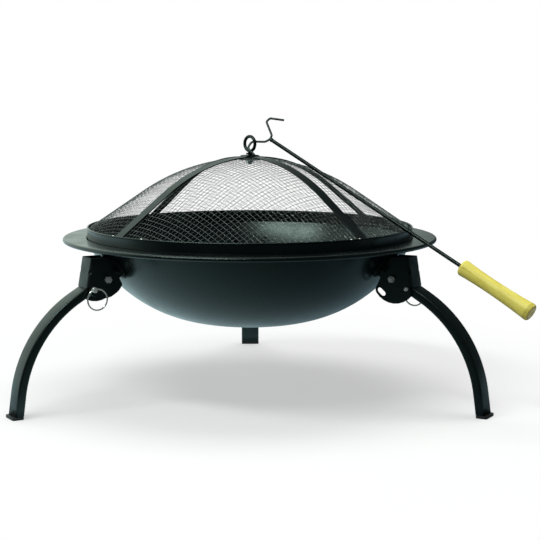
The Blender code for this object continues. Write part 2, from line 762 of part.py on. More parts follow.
def bowl_bolt_mesh():
    """Pan head inside the bowl, shank out through the wall, the ear and the nut."""
    seat = -BOWL_SHEET - BOWL_BOLT_HEAD_PLAY
    end = 2 * GAP + BRACKET_SHEET + BOWL_NUT + BOLT_END
    profile = [
        (0, end),
        (BOWL_BOLT_R - BOLT_CHAMFER, end),
        (BOWL_BOLT_R, end - BOLT_CHAMFER),
        (BOWL_BOLT_R, seat),
        (BOWL_BOLT_HEAD_R, seat),
        (BOWL_BOLT_HEAD_R, seat - BOWL_BOLT_HEAD_EDGE),
        (BOWL_BOLT_HEAD_R - BOWL_BOLT_HEAD_ROUND, seat - BOWL_BOLT_HEAD),
        (0, seat - BOWL_BOLT_HEAD),
    ]
    return turned(profile, SMALL_TURNS)


def nut_mesh(across, bore_r, height, base):
    """A hexagon nut whose lower face lies at the given height."""
    bore = polygon(2 * (bore_r + GAP), SMALL_TURNS)
    nut = plate([polygon(across, 6), bore], height)
    return moved(nut, Matrix.Translation((0, 0, base + height / 2)))


def pivot_bolt_mesh():
    """Head on cheek A, along -Y to the nut on cheek B."""
    seat = CHEEK_OUT + GAP
    head = plate([polygon(PIVOT_HEAD_ACROSS, 6)], PIVOT_HEAD)
    head = moved(head, Matrix.Translation((0, 0, seat + PIVOT_HEAD / 2)))
    end = (0, 0, -seat - PIVOT_NUT - BOLT_END)
    flats = PIVOT_R * math.cos(math.pi / SMALL_TURNS)
    shank = rod(end, (0, 0, seat + PIVOT_HEAD / 2), flats)
    return moved(combined(head, "UNION", shank), Matrix.Rotation(-math.pi / 2, 4, "X"))


def pivot_nut_mesh():
    nut = nut_mesh(PIVOT_NUT_ACROSS, PIVOT_R, PIVOT_NUT, CHEEK_OUT + GAP)
    return moved(nut, Matrix.Rotation(math.pi / 2, 4, "X"))


def pull_pin_mesh():
    """A headed pin along Y, round at its tip, with a hole across its head for the ring."""
    seat = CHEEK_OUT + GAP
    tip = -CHEEK_OUT - PIN_TIP
    profile = [
        (0, seat + PIN_HEAD),
        (PIN_HEAD_R - PIN_CHAMFER, seat + PIN_HEAD),
        (PIN_HEAD_R, seat + PIN_HEAD - PIN_CHAMFER),
        (PIN_HEAD_R, seat),
        (PIN_R, seat),
    ]
    profile += arc((0, tip + PIN_R), PIN_R, 0, -math.pi / 2, CORNER_STEPS)
    pin = moved(turned(profile, SMALL_TURNS), Matrix.Rotation(-math.pi / 2, 4, "X"))
    reach = Vector((PIN_HEAD, 0, 0))
    middle = Vector((0, ring_y(), 0))
    hole = rod(middle - reach, middle + reach, RING_WIRE_R + ring_sag() + GAP)
    return combined(pin, "DIFFERENCE", hole)


def ring_sag():
    """Half of what the ring's curve rises over the width of the pin's head."""
    return (RING_R - math.sqrt(RING_R**2 - PIN_HEAD_R**2)) / 2


def ring_y():
    return CHEEK_OUT + GAP + PIN_HEAD / 2


def pull_ring_mesh():
    """A ring that hangs from the hole in the pin's head; its hinge axis is X."""
    centre = (0, ring_sag() - RING_R)
    points = arc(centre, RING_R, math.pi / 2, 5 * math.pi / 2, RING_POINTS)[:-1]
    return wire([(p.x, 0, p.y) for p in points], RING_WIRE_R, cyclic=True)


# Lid

def band_mesh():
    """A hoop of sheet with a rolled bead along its upper edge."""
    inner_r = BAND_R - BAND_SHEET
    bead = ((BAND_R + inner_r) / 2, BAND_HEIGHT - BEAD_R)
    half = math.acos(BAND_SHEET / 2 / BEAD_R)
    profile = [Vector((BAND_R, 0)), Vector((inner_r, 0))]
    profile += arc(bead, BEAD_R, math.pi + half, -half, BEAD_STEPS)
    return turned(profile, TURNS, closed=True)


def screen_mesh():
    """A square net pressed into a dome; its outermost points lie on the band's circle."""
    cells = 2 * int(SCREEN_EDGE_R / SCREEN_PITCH) + 1
    bm = bmesh.new()
    half = cells * SCREEN_PITCH / 2
    bmesh.ops.create_grid(bm, x_segments=cells, y_segments=cells, size=half)
    reach = SCREEN_EDGE_R - SCREEN_PITCH / 4
    outside = [face for face in bm.faces if face.calc_center_median().length > reach]
    bmesh.ops.delete(bm, geom=outside, context="FACES")
    for vert in bm.verts:
        if vert.is_boundary:
            vert.co *= SCREEN_EDGE_R / vert.co.length
    for vert in bm.verts:
        vert.co.z = dome_height(vert.co.length)
    mesh = bpy.data.meshes.new("net")
    bm.to_mesh(mesh)
    bm.free()
    obj = bpy.data.objects.new("net", mesh)
    net = obj.modifiers.new("wires", "WIREFRAME")
    net.thickness = SCREEN_WIRE
    net.offset = 0
    net.use_even_offset = True
    net.use_boundary = True
    return evaluated_mesh(obj)


def strap_places(joggled):
    """Distances from the middle, from one end of a strap to the other, where it bends."""
    step = SHOULDER_ANGLE / STRAP_ARC_STEPS
    places = [DOME_R * math.sin(step * (i + 1)) for i in range(STRAP_ARC_STEPS)]
    if joggled:
        places = [JOGGLE_FLAT, JOGGLE_END] + [place for place in places if place > JOGGLE_END]
    places.append(BAND_R - BAND_SHEET - STRAP_END_PLAY)
    return [-place for place in reversed(places)] + places


def strap_face(places, offset, lift):
    """Side view of one face of a strap, raised near the middle."""
    face = []
    for place in places:
        rise = lift if abs(place) <= JOGGLE_FLAT else 0.0
        face.append(Vector((place, dome_height(abs(place), offset) + rise)))
    return face


def strap_mesh(joggled):
    """A flat bar bent over the dome; the upper one steps over the lower one at the middle."""
    lift = STRAP_SHEET + 2 * GAP if joggled else 0.0
    places = strap_places(joggled)
    outline = strap_face(places, STRAP_TOP, lift) + strap_face(places[::-1], STRAP_BOTTOM, lift)
    strap = side_plate(outline, -STRAP_WIDTH / 2, STRAP_WIDTH / 2)
    peak = dome_height(0)
    hole = rod((0, 0, peak - DOME_R), (0, 0, peak + DOME_R), STEM_R + GAP)
    return combined(strap, "DIFFERENCE", hole)


def eye_levels():
    """Heights above the lid's lower edge of the pieces on the eye bolt, and of its end."""
    nut = dome_height(0) + STRAP_TOP + STRAP_SHEET + 4 * GAP
    washer = dome_height(SCREEN_PITCH / math.sqrt(2)) - SCREEN_WIRE / 2 - GAP - WASHER_SHEET
    lock_nut = washer - GAP - LOCK_NUT
    return {
        "nut": nut,
        "eye": nut + EYE_NUT + GAP + EYE_WIRE_R + EYE_R,
        "washer": washer,
        "lock_nut": lock_nut,
        "end": lock_nut - STEM_BELOW_NUT,
    }


def eye_bolt_mesh(levels):
    centre = (0, levels["eye"])
    points = arc(centre, EYE_R, 0, 2 * math.pi, EYE_POINTS)[:-1]
    eye = wire([(p.x, 0, p.y) for p in points], EYE_WIRE_R, cyclic=True)
    flats = STEM_R * math.cos(math.pi / SMALL_TURNS)
    stem = rod((0, 0, levels["end"]), (0, 0, levels["eye"] - EYE_R), flats)
    return combined(eye, "UNION", stem)


def washer_mesh(levels):
    bore = polygon(2 * (STEM_R + GAP), SMALL_TURNS)
    disc = plate([polygon(2 * WASHER_R, WASHER_TURNS), bore], WASHER_SHEET)
    return moved(disc, Matrix.Translation((0, 0, levels["washer"] + WASHER_SHEET / 2)))


# Poker

def fork_path():
    """The bent wire that makes both prongs, in the plane of the fork."""
    return rounded_path(FORK_CORNERS, FORK_RADII, FORK_ARC_STEPS)


def poker_fork_mesh():
    return wire([(p.x, 0, p.y) for p in fork_path()], PRONG_R)


def poker_rod_mesh():
    """From the fork's bow into the handle's bore."""
    bow = max(point.x for point in fork_path())
    start = (bow + PRONG_R + GAP, 0, 0)
    end = (HANDLE_START + HANDLE_BORE - GAP, 0, 0)
    return rod(start, end, ROD_R * math.cos(math.pi / SMALL_TURNS))


def handle_radius(share):
    """Radius at a share of the handle's length; it narrows to a waist."""
    if share < HANDLE_WAIST_AT:
        spread = (HANDLE_WAIST_AT - share) / HANDLE_WAIST_AT
        return HANDLE_WAIST_R + (HANDLE_START_R - HANDLE_WAIST_R) * spread**2
    spread = (share - HANDLE_WAIST_AT) / (1 - HANDLE_WAIST_AT)
    return HANDLE_WAIST_R + (HANDLE_END_R - HANDLE_WAIST_R) * spread**2


def poker_handle_mesh():
    """A turned wooden grip with a blind bore for the rod."""
    edge = HANDLE_ROUND / HANDLE_LENGTH
    top = (handle_radius(1 - edge) - HANDLE_ROUND, HANDLE_LENGTH - HANDLE_ROUND)
    low = (handle_radius(edge) - HANDLE_ROUND, HANDLE_ROUND)
    half = math.pi / 2
    profile = [Vector((0, HANDLE_LENGTH))]
    profile += arc(top, HANDLE_ROUND, half, 0, CORNER_STEPS)
    for i in range(1, HANDLE_STEPS):
        share = 1 - edge - (1 - 2 * edge) * i / HANDLE_STEPS
        profile.append(Vector((handle_radius(share), share * HANDLE_LENGTH)))
    profile += arc(low, HANDLE_ROUND, 0, -half, CORNER_STEPS)
    bore_r = ROD_R + GAP
    profile += [Vector((bore_r, 0)), Vector((bore_r, HANDLE_BORE)), Vector((0, HANDLE_BORE))]
    place = Matrix.Translation((HANDLE_START, 0, 0)) @ Matrix.Rotation(math.pi / 2, 4, "Y")
    return moved(turned(profile, HANDLE_TURNS), place)


# Scene

def finish_material(name, finish):
    color, roughness, metallic = finish
    material = bpy.data.materials.new(name)
    material.use_nodes = True
    shader = material.node_tree.nodes["Principled BSDF"]
    shader.inputs["Base Color"].default_value = color
    shader.inputs["Roughness"].default_value = roughness
    shader.inputs["Metallic"].default_value = metallic
    material.diffuse_color = color
    return material


def add_empty(name, parent, matrix):
    """A frame that pieces hang from; the matrix is in its parent's frame."""
    empty = bpy.data.objects.new(name, None)
    bpy.context.scene.collection.objects.link(empty)
    empty.parent = parent
    empty.matrix_basis = matrix
    empty.empty_display_size = LEG_WIDTH
    return empty


def add_part(name, mesh, parent, finish, collection, matrix=None):
    mesh = mesh.copy()
    mesh.name = name
    mesh.shade_smooth()
    mesh.set_sharp_from_angle(angle=SHARP_ANGLE)
    mesh.materials.clear()
    mesh.materials.append(finish_material(name + "_finish", finish))
    obj = bpy.data.objects.new(name, mesh)
    collection.objects.link(obj)
    obj.parent = parent
    if matrix is not None:
        obj.matrix_basis = matrix
    return obj


def add_legs(root, parts):
    """Brackets, fasteners, legs, caps, pins and rings, three of each set."""
    bracket = bracket_mesh()
    bolt = bowl_bolt_mesh()
    nut = nut_mesh(BOWL_NUT_ACROSS, BOWL_BOLT_R, BOWL_NUT, BRACKET_SHEET + 2 * GAP)
    pivot_bolt = pivot_bolt_mesh()
    pivot_nut = pivot_nut_mesh()
    leg = leg_mesh()
    cap = foot_cap_mesh()
    pin = pull_pin_mesh()
    ring = pull_ring_mesh()
    for side, azimuth in LEG_AZIMUTHS.items():
        mount = add_empty("mount_" + side, root, leg_matrix(azimuth))
        add_part("bracket_" + side, bracket, mount, PAINT, parts)
        for letter, way in (("a", 1), ("b", -1)):
            add_part(f"bowl_bolt_{side}_{letter}", bolt, mount, BLACK_WIRE, parts, bolt_matrix(way))
            add_part(f"bowl_nut_{side}_{letter}", nut, mount, BLACK_WIRE, parts, bolt_matrix(way))
        add_part("pivot_bolt_" + side, pivot_bolt, mount, ZINC, parts)
        add_part("pivot_nut_" + side, pivot_nut, mount, ZINC, parts)
        hinge = add_empty("fold_" + side, root, leg_matrix(azimuth))
        add_part("leg_" + side, leg, hinge, PAINT, parts)
        add_part("foot_cap_" + side, cap, hinge, PLASTIC, parts)
        turn = Matrix.Rotation(PIN_TURN, 4, "Y")
        pin_place = Matrix.Translation((PIN_AT.x, 0, PIN_AT.y)) @ turn
        slide = add_empty("draw_" + side, mount, pin_place)
        add_part("pull_pin_" + side, pin, slide, ZINC, parts)
        swing = add_empty("swing_" + side, slide, Matrix.Translation((0, ring_y(), 0)))
        add_part("pull_ring_" + side, ring, swing, STEEL, parts)


def add_lid(root, parts):
    """The lid lifts along its frame's Z, and carries the poker."""
    lid = add_empty("lid_lift", root, Matrix.Translation((0, 0, LID_SEAT_Z)))
    levels = eye_levels()
    weave = azimuth_matrix(STRAP_AZIMUTH)
    across = azimuth_matrix(STRAP_AZIMUTH - math.pi / 2)
    add_part("lid_band", band_mesh(), lid, PAINT, parts)
    add_part("spark_screen", screen_mesh(), lid, BLACK_WIRE, parts, weave)
    add_part("strap_lower", strap_mesh(False), lid, PAINT, parts, weave)
    add_part("strap_upper", strap_mesh(True), lid, PAINT, parts, across)
    eye_turn = azimuth_matrix(EYE_AZIMUTH)
    add_part("eye_bolt", eye_bolt_mesh(levels), lid, BLACK_WIRE, parts, eye_turn)
    eye_nut = nut_mesh(EYE_NUT_ACROSS, STEM_R, EYE_NUT, levels["nut"])
    add_part("eye_nut", eye_nut, lid, BLACK_WIRE, parts)
    add_part("eye_washer", washer_mesh(levels), lid, BLACK_WIRE, parts)
    lock_nut = nut_mesh(EYE_NUT_ACROSS, STEM_R, LOCK_NUT, levels["lock_nut"])
    add_part("eye_lock_nut", lock_nut, lid, ZINC, parts)
    turn = poker_turn()
    place = Vector((0, 0, levels["eye"])) + POKER_FROM_EYE + turn.to_3x3() @ HOOK_CENTRE
    hinge = add_empty("poker_swing", lid, Matrix.Translation(place) @ turn)
    shift = Matrix.Translation(-HOOK_CENTRE)
    add_part("poker_rod", poker_rod_mesh(), hinge, BLACK_WIRE, parts, shift)
    add_part("poker_fork", poker_fork_mesh(), hinge, BLACK_WIRE, parts, shift)
    add_part("poker_handle", poker_handle_mesh(), hinge, WOOD, parts, shift)


def footprint_centre(objects):
    """Middle of the bounding box of every piece, on the ground."""
    bpy.context.view_layer.update()
    points = [obj.matrix_world @ vert.co for obj in objects for vert in obj.data.vertices]
    lows = [min(point[i] for point in points) for i in range(3)]
    highs = [max(point[i] for point in points) for i in range(3)]
    return Vector(((lows[0] + highs[0]) / 2, (lows[1] + highs[1]) / 2, lows[2]))


def build():
    for obj in list(bpy.data.objects):
        bpy.data.objects.remove(obj)
    parts = bpy.data.collections.new("fire_pit")
    bpy.context.scene.collection.children.link(parts)
    root = add_empty("fire_pit_root", None, Matrix.Identity(4))
    add_part("bowl", bowl_mesh(), root, PAINT, parts)
    add_legs(root, parts)
    add_lid(root, parts)
    root.location = -footprint_centre(parts.objects)
    bpy.context.view_layer.update()


build()
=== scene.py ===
"""Looks of the folding fire pit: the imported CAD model, dressed with fine pieces and materials.

Metres, in the CAD's frame: +Z up, the front is -Y, the ground is z = 0. Sizes repeat the CAD's.
"""

import math

import bmesh
import bpy
from mathutils import Matrix, Vector


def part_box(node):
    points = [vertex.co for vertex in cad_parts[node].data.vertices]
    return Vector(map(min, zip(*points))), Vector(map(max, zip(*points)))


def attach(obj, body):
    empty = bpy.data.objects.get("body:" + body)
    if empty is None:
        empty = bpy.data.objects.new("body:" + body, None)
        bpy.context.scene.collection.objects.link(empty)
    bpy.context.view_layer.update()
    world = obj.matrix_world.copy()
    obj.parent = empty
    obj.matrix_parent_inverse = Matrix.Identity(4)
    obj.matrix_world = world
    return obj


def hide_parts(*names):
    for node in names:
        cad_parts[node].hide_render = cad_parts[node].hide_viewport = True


SIDES = {"left": math.radians(-60), "right": math.radians(60), "rear": math.radians(180)}
GAP = 0.0003
QUARTER = math.pi / 2

# Meshes
SMOOTH_ANGLE = math.radians(40)
TURN_STEPS = 192
SAME_POINT = 0.000005
SAME_CAD_POINT = 0.00001
FLAT_ANGLE = math.radians(0.5)
BEVEL_SEGMENTS = 2
STRAP_BEVEL = 0.0003
CAP_BEVEL = 0.0004
BRACKET_BEVEL = 0.00035
FASTENER_BEVEL = 0.0002

# Bowl
RIM_R = 0.280
RIM_TOP_Z = 0.2365
BOWL_DEPTH = 0.130
BOWL_SHEET = 0.0012
BOWL_FLAT_R = 0.0485
BOWL_WALL_R = 0.216
MOUTH_BEND_R = 0.0025
CURL_R = 0.003
CURL_SWEEP = math.radians(250)
WALL_CENTRE_Z = RIM_TOP_Z - BOWL_DEPTH + BOWL_WALL_R
CURL_STEPS = 20
MOUTH_STEPS = 8
WALL_STEPS = 40

# Legs, in the frame of each pivot: X out, Y along the pivot, Z up
BOLT_Z = RIM_TOP_Z - 0.0335
PIVOT_Z = BOLT_Z - 0.015
PIVOT_FROM_WALL = 0.0146
LEG_FALL = math.radians(30)
LEG_HALF = (0.0065, 0.015)
LEG_WALL = 0.0015
LEG_CORNER_R = 0.003
LEG_CORNER_STEPS = 6
LEG_HEAD = 0.012
LEG_STRAIGHT = 0.0493
LEG_BEND_R = 0.1791
LEG_FOOT_LEAN = math.radians(8)
LEG_BEND_STEPS = 28
CAP_PLATE = 0.004

# Pins and split rings; RING_SECTION is half a coil's thickness, across the ring and along the pin
PIVOT_TO_PIN = 0.0255
PIN_TURN = math.radians(16.5)
CHEEK_OUT = 0.0175
PIN_HEAD = 0.0067
PIN_HEAD_R = 0.004
RING_R = 0.0150
RING_SECTION = (0.001, 0.00048)
RING_RISE = 0.00052
RING_COILS = 2
RING_START = math.radians(200)
RING_CROSSING = 14
RING_STEPS = 120
RING_SIDES = 14

# Lid; heights are above its lower edge
BAND_R = 0.2437
BAND_SHEET = 0.0012
BAND_HEIGHT = 0.0184
BEAD_R = 0.00125
BEAD_STEPS = 18
DOME_R = 0.285
SHOULDER_R = 0.160
SCREEN_EDGE_R = 0.2411
SCREEN_EDGE_Z = 0.01505
SHOULDER_ANGLE = math.asin(SHOULDER_R / DOME_R)
DOME_CENTRE_Z = (
    SCREEN_EDGE_Z
    + (SCREEN_EDGE_R - SHOULDER_R) * math.tan(SHOULDER_ANGLE)
    - DOME_R * math.cos(SHOULDER_ANGLE)
)
WEAVE_PITCH = 0.0069
WEAVE_WIRE_R = 0.00022
WEAVE_RISE = 0.00024
WEAVE_SIDES = 6
STRAP_AZIMUTH = math.radians(40.4)
WELD_AZIMUTHS = (-52.0, -37.8, 35.0, 38.5, 128.0, 133.2, -136.9, -142.0)
WELD_SIZE = (0.0019, 0.0017, 0.0008)
WELD_SINK = 0.0002
WELD_ROWS = 6
WELD_COLUMNS = 12

# Eye
EYE_AZIMUTH = math.radians(44)
EYE_R = 0.0109
EYE_WIRE_R = 0.0024
EYE_HEIGHT = 0.14032
EYE_BOTTOM = 0.11023
EYE_STEPS = 64
STEM_R = 0.003
STEM_STEPS = 4
EYE_SIDES = 20

# Poker: X runs from its hook to its grip; ROD_WELD is the weld's radii, each with its place past the
# rod's start
POKER_FROM_EYE = Vector((0.0348, -0.011, 0.0043))
POKER_AZIMUTH = math.radians(54.63)
POKER_FALL = math.radians(27.6)
POKER_ROLL = math.radians(35.2)
PRONG_R = 0.00165
PRONG_SIDES = 16
FORK_CORNERS = [
    (-0.0084, -0.0338),
    (-0.0256, -0.0305),
    (-0.0273, -0.0189),
    (-0.0090, -0.0073),
    (-0.0063, 0.0007),
    (-0.0082, 0.0062),
    (-0.0310, 0.0193),
    (-0.0300, 0.0267),
    (-0.0098, 0.0361),
]
FORK_RADII = [0.006, 0.006, 0.008, 0.005, 0.005, 0.0042, 0.0042]
FORK_ARC_STEPS = 10
ROD_R = 0.00275
ROD_TURNS = 32
ROD_WELD = ((0.0, -0.0012), (0.0022, -0.0010), (0.0033, 0.0004), (0.0032, 0.0018), (ROD_R, 0.0030))
HANDLE_START = 0.3564
HANDLE_LENGTH = 0.1195
HANDLE_START_R = 0.012
HANDLE_WAIST_R = 0.0103
HANDLE_END_R = 0.013
HANDLE_WAIST_AT = 0.4
HANDLE_ROUND = 0.004
HANDLE_ROUND_STEPS = 10
HANDLE_BORE = 0.060
HANDLE_STEPS = 40
HANDLE_TURNS = 64

# Finishes: dark tone, light tone, low and high roughness; the coat's gloss has a tint
SATIN_BLACK = ((0.0016, 0.0026, 0.0030), (0.0024, 0.0036, 0.0040), (0.20, 0.30))
STRAP_BLACK = ((0.0022, 0.0032, 0.0034), (0.0034, 0.0046, 0.0048), (0.32, 0.44))
LEG_BLACK = ((0.0018, 0.0028, 0.0031), (0.0028, 0.0040, 0.0043), (0.28, 0.40))
BRACKET_BLACK = ((0.0016, 0.0025, 0.0028), (0.0026, 0.0036, 0.0040), (0.34, 0.48))
WIRE_BLACK = ((0.0020, 0.0026, 0.0028), (0.0036, 0.0046, 0.0048), (0.18, 0.28))
WOVEN_GREY = ((0.20, 0.22, 0.215), (0.30, 0.33, 0.32), (0.20, 0.30))
ZINC_SILVER = ((0.62, 0.65, 0.63), (0.86, 0.89, 0.86), (0.22, 0.34))
SPRING_SILVER = ((0.62, 0.64, 0.58), (0.90, 0.92, 0.84), (0.16, 0.28))
PLASTIC_BLACK = ((0.010, 0.011, 0.011), (0.019, 0.020, 0.020), (0.42, 0.58))
COAT_TINT = (0.78, 1.0, 0.93, 1.0)

# Noises: scale, detail and roughness; bumps: strength and distance; spans: parts of a noise's range
NOISE_SPAN = (0.3, 0.7)
COAT_BLOTCHES = (28.0, 5.0, 0.55)
COAT_TONE_SPAN = (0.35, 0.68)
COAT_PEEL = (900.0, 2.0, 0.5)
COAT_BUMP = (0.05, 0.00008)
WIRE_BUMP = (0.06, 0.00008)
PLATING_CLOUDS = (160.0, 4.0, 0.6)
PLATING_SCRATCHES = (1800.0, 2.0, 0.5)
PLATING_BUMP = (0.15, 0.00004)
PLASTIC_CLOUDS = (60.0, 3.0, 0.5)
PLASTIC_GRAIN = (1500.0, 2.0, 0.5)
PLASTIC_BUMP = (0.3, 0.0001)

# The grip's wood, by its own coordinates: colours by noise, by radius and by place along it
GRIP_PLACE = "grip_place"
WOOD_STRETCH = (7.0, 62.0, 62.0)
WOOD_GRAIN = (3.2, 3.5, 0.55)
WOOD_ROUGHNESS = (0.36, 0.50)
WOOD_BUMP = (0.1, 0.00005)
WOOD_TONES = [
    (0.30, (0.68, 0.54, 0.070)),
    (0.45, (0.83, 0.72, 0.125)),
    (0.60, (0.92, 0.82, 0.175)),
    (0.78, (0.76, 0.65, 0.105)),
]
END_RINGS = [
    (0.0, (0.50, 0.42, 0.14)),
    (0.20, (0.62, 0.54, 0.20)),
    (0.42, (0.80, 0.73, 0.36)),
    (0.62, (0.72, 0.63, 0.27)),
    (0.82, (0.34, 0.27, 0.085)),
]
# Along the grip: darker at its start, and a band of painted shade near its end, where the rounding
# begins
DARK_START_AND_PAINTED_SHADE_BAND = [
    (0.0, (0.75, 0.70, 0.55)),
    (0.02, (1.0, 1.0, 1.0)),
    (0.935, (1.0, 1.0, 1.0)),
    (0.958, (0.62, 0.62, 0.44)),
    (0.978, (1.0, 1.0, 1.0)),
]
END_FACE = (HANDLE_LENGTH - 0.0009, HANDLE_LENGTH - 0.0002)

# Floor and room: what the camera, the scattered light and the gloss see of them
BACKDROP_WHITE = (1.0, 1.0, 1.0, 1.0)
FLOOR_R = 6.0
FLOOR_SIDES = 96
FLOOR_DROP = 0.0002
FLOOR_ROUGHNESS = 0.9
FLOOR_FADE = (0.45, 0.80)
FLOOR_WHITE = 0.94
FLOOR_BOUNCE = 0.30
FLOOR_GLOW = 0.45
# Painted reflection: in glossy rays the floor glows with these colours, by its place, whatever light
# falls on it
FLOOR_PAINTED_REFLECTION_LEFT = (0.64, 0.88, 0.93, 1.0)
FLOOR_PAINTED_REFLECTION_RIGHT = (0.18, 0.27, 0.31, 1.0)
FLOOR_PAINTED_REFLECTION_FRONT = (0.030, 0.045, 0.045, 1.0)
FLOOR_PAINTED_REFLECTION_SPAN_X = (-0.25, 0.25)
FLOOR_PAINTED_REFLECTION_SPAN_Y = (-0.75, 0.25)
ROOM_LIGHT = 0.25
ROOM_WHITE = (0.84, 1.0, 0.92, 1.0)
ROOM_DARK = (0.035, 0.050, 0.050, 1.0)
ROOM_SPAN_X = (0.35, -0.2)
ROOM_SPAN_Y = (-0.5, 0.2)

# Softboxes: place, target, width and height, watts, colour, and whether the gloss sees them
SOFTBOXES = {
    "left_softbox": ((-2.3, -0.5, 1.5), (0, 0, 0.15), (1.6, 1.8), 7, (0.97, 1.0, 0.98), False),
    "right_softbox": ((2.4, -0.2, 1.1), (0, 0, 0.15), (1.2, 1.4), 8, (0.95, 0.98, 1.0), False),
    "top_softbox": ((0.1, 0.4, 2.6), (0, 0, 0.2), (2.0, 1.6), 36, (1.0, 1.0, 1.0), False),
    "strip": ((-1.1, -1.3, 2.3), (0, 0.1, 0.2), (1.9, 0.42), 36, (0.92, 1.0, 0.95), True),
}

# The photograph's camera, about the bowl's axis
CAMERA_AT = Vector((0.0, -2.1574, 0.4725))
CAMERA_DIP = math.radians(7.64)
CAMERA_YAW = -0.0140
CAMERA_LENS = 95.79
CAMERA_SENSOR = 36.0


# Plane geometry

def arc(centre, radius, start, end, steps):
    """Points on an arc, with both of its ends."""
    angles = [start + (end - start) * i / steps for i in range(steps + 1)]
    return [Vector(centre) + radius * Vector((math.cos(a), math.sin(a))) for a in angles]


def angle_of(vector):
    """The direction of a plane vector."""
    return math.atan2(vector[1], vector[0])


def rounded_rectangle(half, radius, steps):
    """A rectangle about the origin with round corners."""
    x, y = half[0] - radius, half[1] - radius
    points = []
    for i, centre in enumerate(((x, -y), (x, y), (-x, y), (-x, -y))):
        points += arc(centre, radius, QUARTER * (i - 1), QUARTER * i, steps)
    return points


def rounded_path(corners, radii, steps):
    """A path through corners, each inner one rounded to its radius."""
    points = [Vector(corners[0])]
    for before, corner, after, radius in zip(corners, corners[1:], corners[2:], radii):
        corner = Vector(corner)
        back = (Vector(before) - corner).normalized()
        ahead = (Vector(after) - corner).normalized()
        half = back.angle(ahead) / 2
        centre = corner + (back + ahead).normalized() * radius / math.sin(half)
        start = angle_of(corner + back * radius / math.tan(half) - centre)
        turn = angle_of(corner + ahead * radius / math.tan(half) - centre) - start
        turn = (turn + math.pi) % (2 * math.pi) - math.pi
        points += arc(centre, radius, start, start + turn, steps)
    return points + [Vector(corners[-1])]


def wall_radius(z):
    """Radius of the bowl's wall at a height."""
    return BOWL_FLAT_R + math.sqrt(BOWL_WALL_R**2 - (WALL_CENTRE_Z - z) ** 2)


def dome_height(radius):
    """Height of the screen above the lid's lower edge."""
    if radius <= SHOULDER_R:
        return DOME_CENTRE_Z + math.sqrt(DOME_R**2 - radius**2)
    fall = (radius - SHOULDER_R) * math.tan(SHOULDER_ANGLE)
    return DOME_CENTRE_Z + DOME_R * math.cos(SHOULDER_ANGLE) - fall


def handle_radius(share):
    """Radius at a share of the grip's length; it narrows to a waist."""
    if share < HANDLE_WAIST_AT:
        spread = (HANDLE_WAIST_AT - share) / HANDLE_WAIST_AT
        return HANDLE_WAIST_R + (HANDLE_START_R - HANDLE_WAIST_R) * spread**2
    spread = (share - HANDLE_WAIST_AT) / (1 - HANDLE_WAIST_AT)
    return HANDLE_WAIST_R + (HANDLE_END_R - HANDLE_WAIST_R) * spread**2


# Mesh building

def in_scene(name, data):
    """An object for a mesh, lamp or camera, in the scene."""
    obj = bpy.data.objects.new(name, data)
    bpy.context.scene.collection.objects.link(obj)
    return obj


def new_object(name, vertices, faces, matrix=None):
    """An object from points and faces, welded, with its normals facing out."""
    mesh = bpy.data.meshes.new(name)
    mesh.from_pydata([tuple(v) for v in vertices], [], faces)
    if matrix is not None:
        mesh.transform(matrix)
    bm = bmesh.new()
    bm.from_mesh(mesh)
    bmesh.ops.remove_doubles(bm, verts=bm.verts, dist=SAME_POINT)
    bmesh.ops.recalc_face_normals(bm, faces=bm.faces)
    bm.to_mesh(mesh)
    bm.free()
    mesh.shade_smooth()
    mesh.set_sharp_from_angle(angle=SMOOTH_ANGLE)
    return in_scene(name, mesh)


def add_sheet(obj, thickness, offset):
    """The object's faces become a sheet: offset 0 is about them, -1 is inside them."""
    sheet = obj.modifiers.new("sheet", "SOLIDIFY")
    sheet.thickness = thickness
    sheet.offset = offset


def grid_faces(rows, columns, close_rows, close_columns):
    """Faces of a grid of points, numbered row by row, closed either way."""
    faces = []
    for row in range(rows if close_rows else rows - 1):
        for column in range(columns if close_columns else columns - 1):
            across = (column + 1) % columns
            down = (row + 1) % rows
            faces.append((
                row * columns + column,
                row * columns + across,
                down * columns + across,
                down * columns + column,
            ))
    return faces


def turned(name, profile, matrix=None, steps=TURN_STEPS, closed=False):
    """A profile of radius and height turned about Z."""
    vertices = []
    for i in range(steps):
        angle = 2 * math.pi * i / steps
        vertices += [(p[0] * math.cos(angle), p[0] * math.sin(angle), p[1]) for p in profile]
    return new_object(name, vertices, grid_faces(steps, len(profile), True, closed), matrix)


def tube(points, radius, sides, cyclic=False, up=Vector((0, 1, 0))):
    """Points and faces of a round wire along a path; its sections stand across the path."""
    count = len(points)
    vertices = []
    for i, point in enumerate(points):
        before = points[i - 1] if i or cyclic else point
        after = points[(i + 1) % count] if i < count - 1 or cyclic else point
        along = (after - before).normalized()
        side = along.cross(up).normalized()
        top = side.cross(along)
        for j in range(sides):
            angle = 2 * math.pi * j / sides
            vertices.append(point + radius * (math.cos(angle) * side + math.sin(angle) * top))
    faces = grid_faces(count, sides, cyclic, True)
    if not cyclic:
        faces.append(tuple(range(sides)))
        faces.append(tuple(range((count - 1) * sides, count * sides)))
    return vertices, faces


def merged(pieces):
    """Several lists of points and faces as one."""
    vertices = []
    faces = []
    for more, joined in pieces:
        start = len(vertices)
        vertices += more
        faces += [tuple(start + i for i in face) for face in joined]
    return vertices, faces


